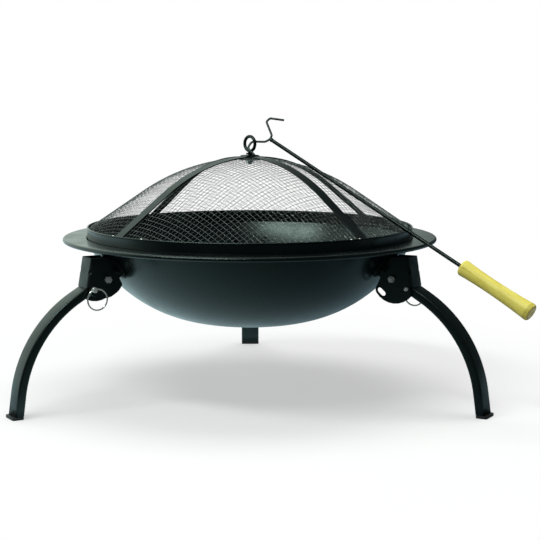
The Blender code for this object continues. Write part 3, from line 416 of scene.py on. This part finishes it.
def refined(node, bevel):
    """A copy of a CAD node's solid with smooth curves and softened edges."""
    bm = bmesh.new()
    bm.from_mesh(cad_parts[node].data)
    bmesh.ops.remove_doubles(bm, verts=bm.verts, dist=SAME_CAD_POINT)
    bmesh.ops.dissolve_limit(
        bm, angle_limit=FLAT_ANGLE, verts=bm.verts, edges=bm.edges, use_dissolve_boundaries=False
    )
    bm.verts.index_update()
    vertices = [vert.co.copy() for vert in bm.verts]
    faces = [tuple(vert.index for vert in face.verts) for face in bm.faces]
    bm.free()
    obj = new_object(node + "_fine", vertices, faces)
    soft = obj.modifiers.new("soft edges", "BEVEL")
    soft.width = bevel
    soft.segments = BEVEL_SEGMENTS
    soft.limit_method = "ANGLE"
    soft.angle_limit = SMOOTH_ANGLE
    soft.harden_normals = True
    soft.use_clamp_overlap = True
    return obj


def dress(obj, material, slot, body, *nodes):
    """The piece gets its material, rides on its body and stands for CAD nodes."""
    obj.data.materials.clear()
    obj.data.materials.append(material)
    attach(obj, body)
    if nodes:
        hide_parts(*nodes)


# Shader nodes

def set_input(tree, socket, value):
    """The input gets a constant or a link from an output."""
    if isinstance(value, bpy.types.NodeSocket):
        tree.links.new(value, socket)
    else:
        socket.default_value = value


def add_node(tree, kind, **inputs):
    """A node with some of its inputs set by name."""
    node = tree.nodes.new(kind)
    for name, value in inputs.items():
        set_input(tree, node.inputs[name.replace("_", " ")], value)
    return node


def calculated(tree, kind, operation, *values, result="Value"):
    """The result of a mathematical node, its inputs set in order."""
    node = tree.nodes.new(kind)
    node.operation = operation
    for socket, value in zip(node.inputs, values):
        set_input(tree, socket, value)
    return node.outputs[result]


def mapped(tree, value, span, result=(0.0, 1.0), smooth=False):
    """The value's place in its span, as a place in the result's span."""
    node = add_node(
        tree,
        "ShaderNodeMapRange",
        From_Min=span[0],
        From_Max=span[1],
        To_Min=result[0],
        To_Max=result[1],
    )
    node.interpolation_type = "SMOOTHSTEP" if smooth else "LINEAR"
    tree.links.new(value, node.inputs["Value"])
    return node.outputs["Result"]


def mixed_color(tree, factor, first, second, blend="MIX"):
    """A mix of two colours, each a constant or an output."""
    node = add_node(tree, "ShaderNodeMixRGB", Fac=factor, Color1=first, Color2=second)
    node.blend_type = blend
    return node.outputs["Color"]


def ramp(tree, value, stops):
    """A colour ramp over a value; stops are (place, colour)."""
    node = add_node(tree, "ShaderNodeValToRGB", Fac=value)
    elements = node.color_ramp.elements
    while len(elements) < len(stops):
        elements.new(0.5)
    for element, (place, color) in zip(elements, stops):
        element.position = place
        element.color = (*color, 1.0)
    return node.outputs["Color"]


def noise(tree, place, kind):
    """Noise of a kind: its scale, detail and roughness."""
    node = add_node(
        tree, "ShaderNodeTexNoise", Vector=place, Scale=kind[0], Detail=kind[1], Roughness=kind[2]
    )
    return node.outputs["Fac"]


def object_place(tree):
    """Coordinates of the object that is shaded."""
    return tree.nodes.new("ShaderNodeTexCoord").outputs["Object"]


def axis_places(tree, place):
    """A vector's X, Y and Z."""
    return add_node(tree, "ShaderNodeSeparateXYZ", Vector=place).outputs


def grey(value):
    """A neutral colour."""
    return (value, value, value, 1.0)


# Materials

def new_material(name, roughness, metallic=0.0):
    """A material, its node tree and its shader's inputs."""
    material = bpy.data.materials.new(name)
    material.use_nodes = True
    shader = material.node_tree.nodes["Principled BSDF"].inputs
    shader["Roughness"].default_value = roughness
    shader["Metallic"].default_value = metallic
    return material, material.node_tree, shader


def vary_roughness(tree, shader, value, span):
    """Roughness over its span, by a noise."""
    tree.links.new(mapped(tree, value, NOISE_SPAN, span), shader["Roughness"])


def add_bump(tree, shader, height, bump):
    """Bump from a noise, with its strength and distance."""
    node = add_node(tree, "ShaderNodeBump", Strength=bump[0], Distance=bump[1], Height=height)
    tree.links.new(node.outputs["Normal"], shader["Normal"])


def clouded(tree, shader, finish, clouds, tone_span, fine, bump):
    """Slow changes of tone and gloss in a finish, and a fine bump."""
    dark, light, rough = finish
    place = object_place(tree)
    slow = noise(tree, place, clouds)
    tone = ramp(tree, slow, [(tone_span[0], dark), (tone_span[1], light)])
    tree.links.new(tone, shader["Base Color"])
    vary_roughness(tree, shader, slow, rough)
    add_bump(tree, shader, noise(tree, place, fine), bump)


def coated_steel(name, finish, bump=COAT_BUMP):
    """Black coating with a fine orange peel."""
    material, tree, shader = new_material(name, finish[2][0])
    shader["Specular Tint"].default_value = COAT_TINT
    clouded(tree, shader, finish, COAT_BLOTCHES, COAT_TONE_SPAN, COAT_PEEL, bump)
    return material


def plated_metal(name, finish, metallic):
    """Plated or bare metal with cloudy plating and fine scratches."""
    material, tree, shader = new_material(name, finish[2][0], metallic)
    clouded(tree, shader, finish, PLATING_CLOUDS, NOISE_SPAN, PLATING_SCRATCHES, PLATING_BUMP)
    return material


def moulded_plastic(name, finish):
    """Dull plastic with a fine grain."""
    material, tree, shader = new_material(name, finish[2][0])
    clouded(tree, shader, finish, PLASTIC_CLOUDS, NOISE_SPAN, PLASTIC_GRAIN, PLASTIC_BUMP)
    return material


def turned_wood(name):
    """Pale wood: long grain, end grain rings on the end face, darker at the start, and a band of painted
    shade near the end, where its rounding begins.
    """
    material, tree, shader = new_material(name, WOOD_ROUGHNESS[0])
    stored = tree.nodes.new("ShaderNodeAttribute")
    stored.attribute_name = GRIP_PLACE
    place = stored.outputs["Vector"]
    stretched = add_node(tree, "ShaderNodeMapping", Vector=place, Scale=WOOD_STRETCH)
    grain = noise(tree, stretched.outputs["Vector"], WOOD_GRAIN)
    along = axis_places(tree, place)["X"]
    across = calculated(
        tree, "ShaderNodeVectorMath", "MULTIPLY", place, (0.0, 1.0, 1.0), result="Vector"
    )
    radius = calculated(tree, "ShaderNodeVectorMath", "LENGTH", across)
    rings = ramp(tree, mapped(tree, radius, (0.0, HANDLE_END_R)), END_RINGS)
    on_end = mapped(tree, along, END_FACE)
    color = mixed_color(tree, on_end, ramp(tree, grain, WOOD_TONES), rings)
    # Darker at the start, and painted shade in a band near the end
    darkening = ramp(tree, mapped(tree, along, (0.0, HANDLE_LENGTH)), DARK_START_AND_PAINTED_SHADE_BAND)
    darkened = mixed_color(tree, 1.0, color, darkening, "MULTIPLY")
    tree.links.new(darkened, shader["Base Color"])
    vary_roughness(tree, shader, grain, WOOD_ROUGHNESS)
    add_bump(tree, shader, grain, WOOD_BUMP)
    return material


# Places of the pieces

def azimuth_matrix(azimuth):
    """X points out at the azimuth, Y goes round the bowl, Z is up."""
    return Matrix.Rotation(azimuth - QUARTER, 4, "Z")


def pivot_matrix(side):
    """The frame of a leg's pivot."""
    out = Matrix.Translation((wall_radius(BOLT_Z) + PIVOT_FROM_WALL, 0, PIVOT_Z))
    return AXIS @ azimuth_matrix(SIDES[side]) @ out


def poker_matrix():
    """The poker's frame, hung in the eye: X along its rod, the prongs bent in X and Z."""
    fall = Matrix.Rotation(POKER_FALL, 4, "Y")
    roll = Matrix.Rotation(-POKER_ROLL, 4, "X")
    hook = Matrix.Translation(Vector((0, 0, EYE_HEIGHT)) + POKER_FROM_EYE)
    return LID @ hook @ azimuth_matrix(POKER_AZIMUTH) @ fall @ roll


# Bowl and lid

def bowl_piece():
    """One spun sheet: curled edge, flange, mouth, curved wall and flat bottom."""
    wall_r = BOWL_WALL_R - BOWL_SHEET / 2
    bend_z = RIM_TOP_Z - BOWL_SHEET / 2 - MOUTH_BEND_R
    reach = wall_r + MOUTH_BEND_R
    tilt = math.asin((WALL_CENTRE_Z - bend_z) / reach)
    bend = (BOWL_FLAT_R + reach * math.cos(tilt), bend_z)
    curl_centre = (RIM_R - CURL_R, RIM_TOP_Z - CURL_R)
    profile = arc(curl_centre, CURL_R - BOWL_SHEET / 2, QUARTER - CURL_SWEEP, QUARTER, CURL_STEPS)
    profile += arc(bend, MOUTH_BEND_R, QUARTER, math.pi - tilt, MOUTH_STEPS)
    profile += arc((BOWL_FLAT_R, WALL_CENTRE_Z), wall_r, -tilt, -QUARTER, WALL_STEPS)[1:]
    profile += [Vector((BOWL_FLAT_R * share, profile[-1].y)) for share in (0.5, 0.0)]
    bowl = turned("bowl_spun", profile, AXIS)
    add_sheet(bowl, BOWL_SHEET, 0)
    return bowl


def band_piece():
    """A hoop of sheet with a rolled bead along its upper edge."""
    inner_r = BAND_R - BAND_SHEET
    bead = ((BAND_R + inner_r) / 2, BAND_HEIGHT - BEAD_R)
    half = math.acos(BAND_SHEET / 2 / BEAD_R)
    profile = [Vector((BAND_R, 0)), Vector((inner_r, 0))]
    profile += arc(bead, BEAD_R, math.pi + half, -half, BEAD_STEPS)
    return turned("band_hoop", profile, LID, closed=True)


def weld_dots_with_painted_highlight():
    """Spots of weld on the bead, where the straps' ends are fixed; their bright metal is a painted
    highlight.
    """
    pieces = []
    for degrees in WELD_AZIMUTHS:
        out = Matrix.Translation((BAND_R - BAND_SHEET / 2, 0, BAND_HEIGHT - WELD_SINK))
        frame_at = azimuth_matrix(math.radians(degrees)) @ out
        vertices = []
        for row in range(WELD_ROWS + 1):
            lift = math.pi * row / WELD_ROWS - QUARTER
            for column in range(WELD_COLUMNS):
                turn = 2 * math.pi * column / WELD_COLUMNS
                vertices.append(frame_at @ Vector((
                    WELD_SIZE[0] * math.cos(lift) * math.cos(turn),
                    WELD_SIZE[1] * math.cos(lift) * math.sin(turn),
                    WELD_SIZE[2] * math.sin(lift),
                )))
        pieces.append((vertices, grid_faces(WELD_ROWS + 1, WELD_COLUMNS, False, True)))
    return new_object("weld_dots_with_painted_highlight", *merged(pieces), LID)


def weave_wire(place, parity, swap):
    """One wire of the screen, over and under the wires that it crosses."""
    half = math.sqrt(SCREEN_EDGE_R**2 - place**2)
    first = math.ceil(-half / WEAVE_PITCH - 0.5)
    last = math.floor(half / WEAVE_PITCH - 0.5)
    stations = [(-half, 0)]
    for i in range(first, last + 1):
        stations.append(((i + 0.5) * WEAVE_PITCH, 1 if (i + parity) % 2 else -1))
    stations.append((half, 0))
    points = []
    for along, over in stations:
        rise = over * WEAVE_RISE * (-1 if swap else 1)
        height = dome_height(math.hypot(along, place)) + rise
        points.append(Vector((place, along, height) if swap else (along, place, height)))
    return points


def screen_piece():
    """Woven wire pressed into a dome; its wires cross just apart, so none are welded."""
    count = int(SCREEN_EDGE_R / WEAVE_PITCH)
    pieces = []
    for swap in (False, True):
        for i in range(-count, count):
            place = (i + 0.5) * WEAVE_PITCH
            if abs(place) < SCREEN_EDGE_R - WEAVE_PITCH / 4:
                path = weave_wire(place, i, swap)
                pieces.append(tube(path, WEAVE_WIRE_R, WEAVE_SIDES, up=Vector((0, 0, 1))))
    vertices, faces = merged(pieces)
    mesh = bpy.data.meshes.new("woven_screen")
    mesh.from_pydata([tuple(v) for v in vertices], [], faces)
    mesh.transform(LID @ azimuth_matrix(STRAP_AZIMUTH))
    mesh.shade_smooth()
    return in_scene("woven_screen", mesh)


def eye_piece():
    """The eye bolt: a ring of wire and its stem."""
    circle = arc((0, EYE_HEIGHT), EYE_R, 0, 2 * math.pi, EYE_STEPS)[:-1]
    ring = [Vector((p.x, 0, p.y)) for p in circle]
    stem_top = EYE_HEIGHT - EYE_R
    shares = [i / STEM_STEPS for i in range(STEM_STEPS + 1)]
    stem = [Vector((0, 0, EYE_BOTTOM + (stem_top - EYE_BOTTOM) * share)) for share in shares]
    pieces = [tube(ring, EYE_WIRE_R, EYE_SIDES, cyclic=True), tube(stem, STEM_R, EYE_SIDES)]
    return new_object("eye", *merged(pieces), LID @ azimuth_matrix(EYE_AZIMUTH))


# Poker

def fork_path():
    """The bent wire's middle line, in the poker's frame."""
    return [Vector((p.x, 0, p.y)) for p in rounded_path(FORK_CORNERS, FORK_RADII, FORK_ARC_STEPS)]


def fork_piece():
    """Both prongs bent from one wire."""
    return new_object("prongs", *tube(fork_path(), PRONG_R, PRONG_SIDES), poker_matrix())


def rod_piece():
    """The straight rod, with the weld that joins it to the prongs' bow."""
    start = max(point.x for point in fork_path()) + PRONG_R + GAP
    end = HANDLE_START + HANDLE_BORE - GAP
    profile = [(radius, start + place) for radius, place in ROD_WELD]
    profile += [(ROD_R, end), (0, end)]
    turn = Matrix.Rotation(QUARTER, 4, "Y")
    return turned("rod", profile, poker_matrix() @ turn, ROD_TURNS)


def handle_piece():
    """The turned grip with its bore; it keeps its own coordinates, for its grain."""
    edge = HANDLE_ROUND / HANDLE_LENGTH
    top = (handle_radius(1 - edge) - HANDLE_ROUND, HANDLE_LENGTH - HANDLE_ROUND)
    low = (handle_radius(edge) - HANDLE_ROUND, HANDLE_ROUND)
    profile = [Vector((0, HANDLE_LENGTH)), Vector((top[0] / 2, HANDLE_LENGTH))]
    profile += arc(top, HANDLE_ROUND, QUARTER, 0, HANDLE_ROUND_STEPS)
    for i in range(1, HANDLE_STEPS):
        share = 1 - edge - (1 - 2 * edge) * i / HANDLE_STEPS
        profile.append(Vector((handle_radius(share), share * HANDLE_LENGTH)))
    profile += arc(low, HANDLE_ROUND, 0, -QUARTER, HANDLE_ROUND_STEPS)
    bore = ROD_R + GAP
    profile += [Vector((bore, 0)), Vector((bore, HANDLE_BORE)), Vector((0, HANDLE_BORE))]
    # The profile turns about X, along which the rod and the grain run
    vertices = []
    for i in range(HANDLE_TURNS):
        angle = 2 * math.pi * i / HANDLE_TURNS
        vertices += [(p[1], p[0] * math.cos(angle), p[0] * math.sin(angle)) for p in profile]
    faces = grid_faces(HANDLE_TURNS, len(profile), True, False)
    place = poker_matrix() @ Matrix.Translation((HANDLE_START, 0, 0))
    grip = new_object("wooden_grip", vertices, faces, place)
    own = grip.data.attributes.new(GRIP_PLACE, "FLOAT_VECTOR", "POINT")
    back = place.inverted()
    for vert, item in zip(grip.data.vertices, own.data):
        item.vector = back @ vert.co
    return grip


# Legs and rings

def leg_piece(side):
    """The flat-sided tube: straight at the pivot, curved, straight again at the foot."""
    along = Vector((math.cos(LEG_FALL), -math.sin(LEG_FALL)))
    out = Vector((math.sin(LEG_FALL), math.cos(LEG_FALL)))
    centre = along * LEG_STRAIGHT - out * LEG_BEND_R
    stations = [(-along * LEG_HEAD, out)]
    start = angle_of(out)
    for i in range(LEG_BEND_STEPS + 1):
        angle = start + (LEG_FOOT_LEAN - start) * i / LEG_BEND_STEPS
        direction = Vector((math.cos(angle), math.sin(angle)))
        stations.append((centre + LEG_BEND_R * direction, direction))
    section = rounded_rectangle(LEG_HALF, LEG_CORNER_R, LEG_CORNER_STEPS)
    vertices = []
    for place, direction in stations:
        for point in section:
            spot = place + direction * point.x
            vertices.append(Vector((spot.x, point.y, spot.y)))
    for vert in vertices[-len(section):]:
        fall = vert.z + PIVOT_Z - CAP_PLATE - GAP
        vertices.append(vert + Vector((fall * math.tan(LEG_FOOT_LEAN), 0, -fall)))
    faces = grid_faces(len(stations) + 1, len(section), False, True)
    leg = new_object("leg_tube_" + side, vertices, faces, pivot_matrix(side))
    add_sheet(leg, LEG_WALL, -1)
    return leg


def ring_piece(side):
    """A split ring: two coils side by side, hanging from the pin's head."""
    along = Vector((math.cos(LEG_FALL), 0, -math.sin(LEG_FALL))) * PIVOT_TO_PIN
    head = Vector((0, CHEEK_OUT + GAP + PIN_HEAD / 2, 0))
    sag = (RING_R - math.sqrt(RING_R**2 - PIN_HEAD_R**2)) / 2
    vertices = []
    for i in range(RING_STEPS + 1):
        share = i / RING_STEPS
        angle = RING_START + RING_COILS * 2 * math.pi * share
        shift = RING_RISE * math.tanh((share - 0.5) * RING_CROSSING)
        for j in range(RING_SIDES):
            turn = 2 * math.pi * j / RING_SIDES
            radius = RING_R + RING_SECTION[0] * math.cos(turn)
            vertices.append(Vector((
                radius * math.cos(angle),
                shift + RING_SECTION[1] * math.sin(turn),
                radius * math.sin(angle) + sag - RING_R,
            )))
    faces = grid_faces(RING_STEPS + 1, RING_SIDES, False, True)
    last = RING_STEPS * RING_SIDES
    faces += [tuple(range(RING_SIDES)), tuple(range(last, last + RING_SIDES))]
    place = Matrix.Translation(along) @ Matrix.Rotation(PIN_TURN, 4, "Y") @ Matrix.Translation(head)
    return new_object("split_ring_" + side, vertices, faces, pivot_matrix(side) @ place)


# Floor, light and camera

def floor_material():
    """White paper; the light that it scatters is held back, and it fades into the white backdrop. In
    glossy rays it glows with a painted reflection: bright at the back left, darker at the back right,
    dark at the front.
    """
    material, tree, shader = new_material("floor", FLOOR_ROUGHNESS)
    shader["Specular IOR Level"].default_value = 0.0
    path = tree.nodes.new("ShaderNodeLightPath").outputs
    place = object_place(tree)
    axes = axis_places(tree, place)
    to_right = mapped(tree, axes["X"], FLOOR_PAINTED_REFLECTION_SPAN_X, smooth=True)
    to_back = mapped(tree, axes["Y"], FLOOR_PAINTED_REFLECTION_SPAN_Y, smooth=True)
    color = mixed_color(tree, path["Is Camera Ray"], grey(FLOOR_BOUNCE), grey(FLOOR_WHITE))
    tree.links.new(color, shader["Base Color"])
    radius = calculated(tree, "ShaderNodeVectorMath", "LENGTH", place)
    far = mapped(tree, radius, FLOOR_FADE, (FLOOR_GLOW, 1.0), smooth=True)
    glow = calculated(
        tree, "ShaderNodeMath", "MULTIPLY_ADD", far, path["Is Camera Ray"], path["Is Glossy Ray"]
    )
    # Painted reflection on the floor, seen only by glossy rays
    across = mixed_color(tree, to_right, FLOOR_PAINTED_REFLECTION_LEFT, FLOOR_PAINTED_REFLECTION_RIGHT)
    in_gloss = mixed_color(tree, to_back, FLOOR_PAINTED_REFLECTION_FRONT, across)
    seen = mixed_color(tree, path["Is Glossy Ray"], BACKDROP_WHITE, in_gloss)
    backdrop = add_node(tree, "ShaderNodeEmission", Color=seen)
    blend = add_node(tree, "ShaderNodeMixShader", Fac=glow)
    tree.links.new(tree.nodes["Principled BSDF"].outputs["BSDF"], blend.inputs[1])
    tree.links.new(backdrop.outputs["Emission"], blend.inputs[2])
    tree.links.new(blend.outputs["Shader"], tree.nodes["Material Output"].inputs["Surface"])
    return material


def add_floor():
    """A disc about the bowl's axis."""
    vertices = [(*(FLOOR_R * p), 0) for p in arc((0, 0), 1, 0, 2 * math.pi, FLOOR_SIDES)[:-1]]
    mesh = bpy.data.meshes.new("floor")
    mesh.from_pydata(vertices, [], [tuple(range(len(vertices)))])
    mesh.materials.append(floor_material())
    floor = in_scene("floor", mesh)
    floor.location = AXIS.translation - Vector((0, 0, FLOOR_DROP))


def add_world():
    """A white backdrop; the gloss sees it behind and to the left, and a dark room elsewhere."""
    world = bpy.data.worlds.new("studio")
    world.use_nodes = True
    tree = world.node_tree
    path = tree.nodes.new("ShaderNodeLightPath").outputs
    axes = axis_places(tree, tree.nodes.new("ShaderNodeTexCoord").outputs["Generated"])
    leftward = mapped(tree, axes["X"], ROOM_SPAN_X, smooth=True)
    backward = mapped(tree, axes["Y"], ROOM_SPAN_Y, smooth=True)
    behind = calculated(tree, "ShaderNodeMath", "MULTIPLY", leftward, backward)
    in_gloss = mixed_color(tree, behind, ROOM_DARK, ROOM_WHITE)
    unseen = mixed_color(tree, path["Is Glossy Ray"], grey(ROOM_LIGHT), in_gloss)
    color = mixed_color(tree, path["Is Camera Ray"], unseen, BACKDROP_WHITE)
    tree.links.new(color, tree.nodes["Background"].inputs["Color"])
    bpy.context.scene.world = world


def add_softbox(name, place, target, size, power, color, in_gloss):
    """A rectangular light that faces its target."""
    data = bpy.data.lights.new(name, "AREA")
    data.shape = "RECTANGLE"
    data.size, data.size_y = size
    data.energy = power
    data.color = color
    lamp = in_scene(name, data)
    lamp.location = place
    lamp.rotation_euler = (Vector(target) - Vector(place)).to_track_quat("-Z", "Y").to_euler()
    lamp.visible_camera = False
    lamp.visible_glossy = in_gloss


def add_camera():
    """The photograph's camera."""
    data = bpy.data.cameras.new("camera")
    data.lens = CAMERA_LENS
    data.sensor_width = CAMERA_SENSOR
    camera = in_scene("camera", data)
    camera.location = AXIS @ CAMERA_AT
    camera.rotation_euler = (QUARTER - CAMERA_DIP, 0, CAMERA_YAW)
    bpy.context.scene.camera = camera


# The assembly

def dress_lid_and_poker():
    """The pieces that lift off the bowl."""
    dress(band_piece(), paint, "black_paint", "lid", "lid_band")
    # The welds' bright metal is a painted highlight on the black lid
    dress(weld_dots_with_painted_highlight(), spring_steel, "black_paint", "lid")
    dress(screen_piece(), woven_wire, "black_wire", "lid", "spark_screen")
    dress(eye_piece(), gloss_wire, "black_wire", "lid", "eye_bolt")
    for node in ("strap_lower", "strap_upper"):
        dress(refined(node, STRAP_BEVEL), strap_paint, "black_paint", "lid", node)
    for node in ("eye_nut", "eye_washer"):
        dress(refined(node, FASTENER_BEVEL), gloss_wire, "black_wire", "lid", node)
    dress(refined("eye_lock_nut", FASTENER_BEVEL), zinc, "zinc_plate", "lid", "eye_lock_nut")
    dress(fork_piece(), gloss_wire, "black_wire", "poker", "poker_fork")
    dress(rod_piece(), gloss_wire, "black_wire", "poker", "poker_rod")
    dress(handle_piece(), wood, "turned_wood", "poker", "poker_handle")


def dress_side(side):
    """One leg with its cap, bracket, pin, ring, bolts and nuts."""
    leg = side + "_leg"
    cap = "foot_cap_" + side
    bracket = "bracket_" + side
    pin = "pull_pin_" + side
    dress(leg_piece(side), leg_paint, "black_paint", leg, "leg_" + side)
    dress(refined(cap, CAP_BEVEL), plastic, "black_plastic", leg, cap)
    dress(refined(bracket, BRACKET_BEVEL), bracket_paint, "black_paint", "fire_bowl", bracket)
    dress(refined(pin, FASTENER_BEVEL), zinc, "zinc_plate", side + "_pin", pin)
    dress(ring_piece(side), spring_steel, "bright_steel", side + "_ring", "pull_ring_" + side)
    for kind in ("bolt", "nut"):
        node = f"pivot_{kind}_{side}"
        dress(refined(node, FASTENER_BEVEL), zinc, "zinc_plate", "fire_bowl", node)
        for letter in "ab":
            node = f"bowl_{kind}_{side}_{letter}"
            dress(refined(node, FASTENER_BEVEL), gloss_wire, "black_fastener", "fire_bowl", node)


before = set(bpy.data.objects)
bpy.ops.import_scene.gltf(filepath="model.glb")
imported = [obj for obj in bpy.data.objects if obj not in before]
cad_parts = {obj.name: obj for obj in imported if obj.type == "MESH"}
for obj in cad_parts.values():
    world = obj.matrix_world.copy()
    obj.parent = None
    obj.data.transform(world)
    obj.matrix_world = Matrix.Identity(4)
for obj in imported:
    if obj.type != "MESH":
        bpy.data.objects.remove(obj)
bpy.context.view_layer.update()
band_low, band_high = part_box("lid_band")
AXIS = Matrix.Translation(((band_low[0] + band_high[0]) / 2, (band_low[1] + band_high[1]) / 2, 0))
LID = AXIS @ Matrix.Translation((0, 0, band_low[2]))

paint = coated_steel("satin_black_paint", SATIN_BLACK)
strap_paint = coated_steel("strap_paint", STRAP_BLACK)
leg_paint = coated_steel("leg_paint", LEG_BLACK)
bracket_paint = coated_steel("bracket_paint", BRACKET_BLACK)
gloss_wire = coated_steel("gloss_black_wire", WIRE_BLACK, WIRE_BUMP)
woven_wire = plated_metal("woven_wire", WOVEN_GREY, metallic=0.75)
zinc = plated_metal("zinc_plate", ZINC_SILVER, metallic=0.6)
spring_steel = plated_metal("spring_steel", SPRING_SILVER, metallic=0.75)
plastic = moulded_plastic("moulded_plastic", PLASTIC_BLACK)
wood = turned_wood("turned_wood_pale")

dress(bowl_piece(), paint, "black_paint", "fire_bowl", "bowl")
dress_lid_and_poker()
for side in SIDES:
    dress_side(side)

add_floor()
add_world()
for name, values in SOFTBOXES.items():
    add_softbox(name, *values)
add_camera()

bpy.context.scene.view_settings.view_transform = "Standard"
